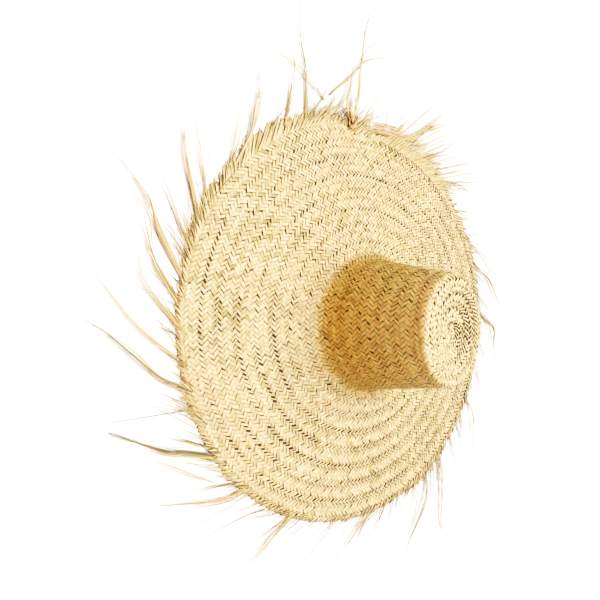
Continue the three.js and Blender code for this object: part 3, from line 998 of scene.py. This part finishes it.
def knot_loops(strand):
    """Points round an overhand knot, each strand a little inside the one before"""
    turn = np.linspace(0.15, 2 * math.pi - 0.15, 34) + strand * 0.10
    size = 1.0 - 0.12 * strand
    return (
        (np.sin(turn) + 2 * np.sin(2 * turn)) * size,
        (np.cos(turn) - 2 * np.cos(2 * turn)) * size,
        -np.sin(3 * turn) * (1 + 0.2 * strand),
    )


def knot_straws(rng):
    """The braid's last straws, tied in an overhand knot, and the ends that spread from it"""
    straws = LooseStraws(rng)
    middle = around(KNOT_AT[0], KNOT_AT[1] / 1000, KNOT_AT[2] / 1000)
    outward = around(KNOT_AT[0], 1, 0) - around(KNOT_AT[0], 0, 0)
    sideways = np.cross((0, 0, 1.0), outward)
    frame_axes = (outward * KNOT_SIZE[0], sideways * KNOT_SIZE[1], np.array((0, 0, KNOT_SIZE[2])))
    for strand, hue in enumerate(KNOT_HUES):
        loops = knot_loops(strand)
        path = middle + sum(loop[:, None] * axis for loop, axis in zip(loops, frame_axes))
        straws.add(path, KNOT_WIDTHS, (0, 1.5, 3.5), hue=hue)
    for width, hue, *points in KNOT_STRAWS:
        path = [around(a, r / 1000, z / 1000) for a, r, z in points]
        wide = width / 1000
        straws.add(
            smooth_path(path, 6), (wide * 0.9, wide, wide * 0.8, wide * 0.45, wide * 0.2),
            (rng.normal(0, 0.4), rng.normal(0, 1.2)), hue=hue,
        )
    return straws


FAN = (-121.0, -91.0)
FAN_STEP = 0.62
FAN_SWEEP = math.radians(44)
FAN_HEIGHTS = (0.0030, 0.0040, 0.0042, 0.0036, 0.0028)
FAN_HUES = (0.2, 0.5, OCHRE, OCHRE, PINK, OLIVE)
LONG_SINGLES = 0.26
LONG_SINGLE = 0.095
BUNDLE = (-84.0, -99.5)
BUNDLE_STRAWS = 26
BUNDLE_HUES = (PINK, OCHRE, BROWN, 0.6)


def fan_straws(rng):
    """The pale sheet of cut ends beside the knot, and the brown straws that lie along the edge"""
    straws = LooseStraws(rng)
    add_fan(straws, rng)
    add_bundle(straws, rng)
    return straws


def add_fan(straws, rng):
    for degrees in np.arange(*FAN, FAN_STEP):
        middle = 1 - abs((degrees - FAN[0]) / (FAN[1] - FAN[0]) - 0.55) * 1.3
        for _ in range(3):
            single = LONG_SINGLE * rng.random() if rng.random() < LONG_SINGLES else 0
            reach = 0.024 + 0.030 * middle * rng.random() + single
            path = swept_path(
                degrees + rng.normal(0, 0.2), 0.2825 + rng.normal(0, 0.001), reach,
                FAN_SWEEP + rng.normal(0, 0.05),
                FAN_HEIGHTS + rng.normal(0, 0.0004, 5),
            )
            wide = rng.uniform(0.0010, 0.0024)
            straws.add(
                smooth_path(path, 3), (wide * 0.9, wide, wide * 0.75, wide * 0.2),
                (0, rng.normal(0, 0.5)), hue=rng.choice(FAN_HUES),
            )


def add_bundle(straws, rng):
    for number in range(BUNDLE_STRAWS):
        start = BUNDLE[0] - 5.5 * rng.random()
        end = min(start - rng.uniform(6, 11), BUNDLE[1])
        angles = np.linspace(start, end, 6)
        out = 0.2925 + 0.0009 * number * rng.random() + np.linspace(0, 0.010, 6) * rng.uniform(0.6, 1.3)
        path = [around(a, r, 0.0036 + 0.0012 * rng.random()) for a, r in zip(angles, out)]
        wide = rng.uniform(0.0008, 0.0017)
        straws.add(
            smooth_path(path, 3), (wide * 0.6, wide, wide * 0.9, wide * 0.3),
            (rng.normal(0, 0.5), rng.normal(0, 0.9)), hue=rng.choice(BUNDLE_HUES),
        )


MEDIUM_STRAWS = 320
MEDIUM_STRETCHES = ((-24, 30), (-150, -62), (20, 90), (90, 210), (-80, -62))
MEDIUM_SHARES = (0.20, 0.20, 0.22, 0.24, 0.14)
MEDIUM_HEIGHTS = (0.0024, 0.0034, 0.0038, 0.0030, 0.0018)
MEDIUM_HUES = (OCHRE, OCHRE, PINK, OLIVE, OLIVE, BROWN, 0.5, DARK_OLIVE)


def medium_straws(rng):
    """Single straws of middling length between the locks"""
    straws = LooseStraws(rng)
    for _ in range(MEDIUM_STRAWS):
        stretch = MEDIUM_STRETCHES[rng.choice(len(MEDIUM_SHARES), p=MEDIUM_SHARES)]
        degrees = rng.uniform(*stretch)
        length = 0.010 + 0.045 * rng.random() ** 1.6
        sweep = SWEEP + rng.normal(0.02, 0.16)
        reach = length * math.cos(sweep)
        heights = np.array(MEDIUM_HEIGHTS) + rng.normal(0, 0.0005, 5)
        path = swept_path(degrees, float(ends_reach(degrees)) - 0.012, reach + 0.008, sweep, heights)
        path = bowed(path, rng.normal(0.04, 0.09) * length)
        wide = rng.uniform(0.0008, 0.0020)
        hue = rng.choice(MEDIUM_HUES)
        widths = (wide, wide, wide * 0.6, wide * 0.15)
        straws.add(smooth_path(path, 3), widths, (0, rng.normal(0, 0.8)), hue=hue)
    return straws


def loose_piece(name, straws, tree, flatness, sides, material):
    values = {"Flatness": flatness, "Sides": sides, "Straw": material}
    return grown(name, straws.mesh(name), tree, values)


# Materials

# The colour of painted shade, mixed into the straw under strands, on the low sides of strands and on the
# ends under the edge
SHADED_STRAW = (0.075, 0.046, 0.016, 1)
FIBRE = Vector((2300, 70, 1))
BLOTCH = Vector((260, 45, 1))
PATCH = Vector((14, 14, 14))
FIBRE_SHARE, BLOTCH_SHARE, PATCH_SHARE, TINT_SHARE = 0.30, 0.40, 0.22, 0.20
STRAW_DEPTH = 0.95
# Where the crown's painted shade lies: its radii, its heights, and the share of it left at the top
PAINTED_SHADE_RADII = (0.094, 0.111)
PAINTED_SHADE_HEIGHTS = (0.050, 0.170)
PAINTED_SHADE_LEFT = 0.62
TIP_LEVELS = (CROWN_HEIGHT - 0.006, CROWN_HEIGHT + 0.001)


def shader_value(tree, name):
    node = tree.nodes.new("ShaderNodeAttribute")
    node.attribute_name = name
    return node


def noise_of(tree, vector, scale, detail):
    stretched = filled(tree, "ShaderNodeVectorMath", (vector, scale), operation="MULTIPLY")
    node = step(tree, "ShaderNodeTexNoise", Vector=stretched, Scale=1.0, Detail=detail)
    return Term(tree, node.outputs["Fac"])


def mixed(tree, kind, factor, first, second):
    node = tree.nodes.new("ShaderNodeMix")
    node.data_type = "RGBA"
    node.blend_type = kind
    feed(tree, node.inputs[0], factor)
    for slot, value in ((node.inputs[6], first), (node.inputs[7], second)):
        feed(tree, slot, value)
    return node.outputs[2]


def grey(tree, term):
    return combined(tree, term, term, term)


def hue_ramp(tree):
    """The straws' colours, by the share of the straws that have them"""
    hue = shader_value(tree, "hue").outputs["Fac"]
    ramp = step(tree, "ShaderNodeValToRGB", Fac=hue)
    stops = ramp.color_ramp.elements
    while len(stops) < len(STRAW_TINTS):
        stops.new(0.5)
    for stop, (share, colour) in zip(stops, STRAW_TINTS):
        stop.position = share
        stop.color = (*colour, 1)
    return ramp.outputs["Color"]


def painted_shade_share(tree, place):
    """Where the crown's painted shade lies: 1 on the crown's side and 0 on its tip and out on the brim,
    less towards the crown's top
    """
    sideways, depth, height = split(tree, place)
    depth = depth - AXIS.y
    sideways = sideways - AXIS.x
    radius = (sideways * sideways + depth * depth).sum("SQRT")
    level = height + depth * math.tan(math.radians(TIP_TILT))
    on_side = radius.smooth(*PAINTED_SHADE_RADII, 1.0, 0.0) * height.smooth(*PAINTED_SHADE_HEIGHTS, 1.0, PAINTED_SHADE_LEFT)
    return on_side * level.smooth(*TIP_LEVELS, 1.0, 0.0)


def straw_material(name, painted_shade_tint=(1.0, 1.0, 1.0)):
    """Dried palm leaf: fibres, a tint for each straw, slow patches, painted shade as a warm darker tint
    on the crown's side, and painted shade by each point's shade value
    """
    material = bpy.data.materials.new(name)
    material.use_nodes = True
    tree = material.node_tree
    surface = tree.nodes["Principled BSDF"]
    grain = shader_value(tree, "grain").outputs["Vector"]
    tint = Term(tree, shader_value(tree, "tint").outputs["Fac"])
    shade = Term(tree, shader_value(tree, "shade").outputs["Fac"])
    fibre = noise_of(tree, grain, FIBRE, 2.0)
    blotch = noise_of(tree, grain, BLOTCH, 2.0)
    place = tree.nodes.new("ShaderNodeTexCoord").outputs["Object"]
    patch = noise_of(tree, place, PATCH, 3.0)
    light = (fibre - 0.5) * FIBRE_SHARE + (blotch - 0.5) * BLOTCH_SHARE
    light = light + (patch - 0.5) * PATCH_SHARE + (tint - 0.5) * TINT_SHARE + STRAW_DEPTH
    colour = mixed(tree, "MULTIPLY", 1.0, hue_ramp(tree), grey(tree, light))
    # Painted shade: a warmer, darker tint on the crown's side and foot
    colour = mixed(tree, "MULTIPLY", painted_shade_share(tree, place), colour, (*painted_shade_tint, 1))
    # Painted shade: the shaded straw colour, by each point's shade value
    colour = mixed(tree, "MIX", shade, colour, SHADED_STRAW)
    tree.links.new(colour, surface.inputs["Base Color"])
    surface.inputs["Roughness"].default_value = 0.55
    surface.inputs["Specular IOR Level"].default_value = 0.3
    bump = step(tree, "ShaderNodeBump", Height=fibre, Strength=0.35, Distance=0.0002)
    tree.links.new(bump.outputs[0], surface.inputs["Normal"])
    return material


# Light, floor and camera

CAMERA_FROM_AXIS = Vector((0.0, -0.4669, 0.49103))
CAMERA_RIGHT = Vector((-0.07454, 0.81608, 0.57311))
CAMERA_UP = Vector((-0.99632, -0.08539, -0.00798))
CAMERA_LENS = 26.32


def place_camera():
    data = bpy.data.cameras.new("camera")
    data.sensor_width = 36
    data.lens = CAMERA_LENS
    data.clip_start = 0.01
    camera = bpy.data.objects.new("camera", data)
    bpy.context.scene.collection.objects.link(camera)
    right = CAMERA_RIGHT.normalized()
    back = right.cross(CAMERA_UP).normalized()
    up = back.cross(right)
    turned = Matrix((right, up, back)).transposed().to_4x4()
    camera.matrix_world = Matrix.Translation(AXIS + CAMERA_FROM_AXIS) @ turned
    bpy.context.scene.camera = camera


def soft_light(name, place, aim, size, power, colour):
    data = bpy.data.lights.new(name, "AREA")
    data.shape = "DISK"
    data.size = size
    data.energy = power
    data.color = colour
    lamp = bpy.data.objects.new(name, data)
    bpy.context.scene.collection.objects.link(lamp)
    lamp.location = place
    lamp.rotation_mode = "QUATERNION"
    lamp.rotation_quaternion = (Vector(aim) - Vector(place)).to_track_quat("-Z", "Y")


FLOOR_HALF = 12.0
FLOOR_PAINT = (0.97, 0.97, 0.97, 1)
AIR_STRENGTH = 0.05
KEY_PLACE, KEY_SIZE, KEY_WATTS, WHITE = (-0.15, 0.30, 2.0), 2.2, 212, (1, 1, 1)
FILL_PLACE, FILL_SIZE, FILL_WATTS, WARM = (0.25, -1.3, 0.35), 0.6, 8.3, (1.0, 0.44, 0.05)


def lay_floor():
    floor_mesh = bpy.data.meshes.new("floor")
    half = FLOOR_HALF
    corners = [(-half, -half, 0), (half, -half, 0), (half, half, 0), (-half, half, 0)]
    floor_mesh.from_pydata(corners, [], [(0, 1, 2, 3)])
    floor = bpy.data.objects.new("floor", floor_mesh)
    bpy.context.scene.collection.objects.link(floor)
    paint = bpy.data.materials.new("floor_paint")
    paint.use_nodes = True
    surface = paint.node_tree.nodes["Principled BSDF"]
    surface.inputs["Base Color"].default_value = FLOOR_PAINT
    surface.inputs["Roughness"].default_value = 0.9
    surface.inputs["Specular IOR Level"].default_value = 0.1
    floor_mesh.materials.append(paint)


def studio():
    lay_floor()
    world = bpy.data.worlds.new("studio_air")
    bpy.context.scene.world = world
    world.use_nodes = True
    air = world.node_tree.nodes["Background"]
    air.inputs["Color"].default_value = (*WHITE, 1)
    air.inputs["Strength"].default_value = AIR_STRENGTH
    soft_light("key", KEY_PLACE, AXIS, KEY_SIZE, KEY_WATTS, WHITE)
    soft_light("warm_fill", FILL_PLACE, AXIS, FILL_SIZE, FILL_WATTS, WARM)
    develop()


WHITE_LEVEL = 3.0
FILM_TOE = 1.7
CURVE_STOPS = (0.015, 0.04, 0.08, 0.13, 0.19, 0.26, 0.34, 0.43, 0.53, 0.64, 0.76, 0.88)


def develop():
    """The photo's tone: full colour in the shade and a soft shoulder up to white"""
    view = bpy.context.scene.view_settings
    view.view_transform = "Standard"
    view.use_curve_mapping = True
    mapping = view.curve_mapping
    mapping.white_level = (WHITE_LEVEL,) * 3
    curve = mapping.curves[3]
    full = 1 - math.exp(-WHITE_LEVEL)
    for share in CURVE_STOPS:
        curve.points.new(share, ((1 - math.exp(-share * WHITE_LEVEL)) / full) ** FILM_TOE)
    mapping.update()


place_camera()
studio()

SEED = 7
# Painted shade on the crown's side: the warm darker tint that its straw takes
CROWN_PAINTED_SHADE_TINT = (1.0, 0.89, 0.52)
LAST_TURN = 17.0
HALF_TURN_MORE = 17.5

rng = np.random.default_rng(SEED)
straw = straw_material("palm_straw")
crown_straw_painted_shade = straw_material("crown_straw_painted_shade", CROWN_PAINTED_SHADE_TINT)
line = line_object()
plait = plait_tree()


def full_turns(start, end):
    return (start * 360, end * 360, 0, COLUMNS, COLUMNS)


TIP_SPANS = [full_turns(13.6, LAST_TURN), (LAST_TURN * 360, HALF_TURN_MORE * 360, 0, 2, COLUMNS)]
SPANS = [  # piece, its stretches of the braid, the solid that it stands for
    ("edge_turn", EDGE_ROWS, "brim"),
    ("brim_plait_outer", [full_turns(0.97, 3.2)], "brim"),
    ("brim_plait_middle", [full_turns(3.2, 5.4)], "brim"),
    ("brim_plait_inner", [full_turns(5.4, 7.9)], "brim"),
    ("crown_side_plait", [full_turns(7.9, 13.6)], "crown_side"),
    ("crown_tip_plait", TIP_SPANS, "crown_tip"),
]
for name, stretches, node in SPANS:
    # The inner brim and the crown's side take the straw with the crown's painted shade
    finish = crown_straw_painted_shade if name in ("brim_plait_inner", "crown_side_plait") else straw
    piece = plait_piece(name, stretches, plait, line, EDGE_SHADES[node], finish, rng)
    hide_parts(node)
    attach(piece, "root")

loose = straw_tree()
for name, straws, flatness, sides, node in (
    ("edge_ends", edge_ends(rng), 0.16, 6, "fringe"),
    ("long_straws", lock_straws(rng), 0.3, 6, "fringe"),
    ("medium_straws", medium_straws(rng), 0.3, 5, "fringe"),
    ("fine_straws", hair_straws(rng), 0.8, 4, "fringe"),
    ("knot", knot_straws(rng), 0.28, 6, "braid_end"),
    ("knot_fan", fan_straws(rng), 0.2, 6, "braid_end"),
):
    piece = loose_piece(name, straws, loose, flatness, sides, straw)
    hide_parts(node)
    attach(piece, "root")
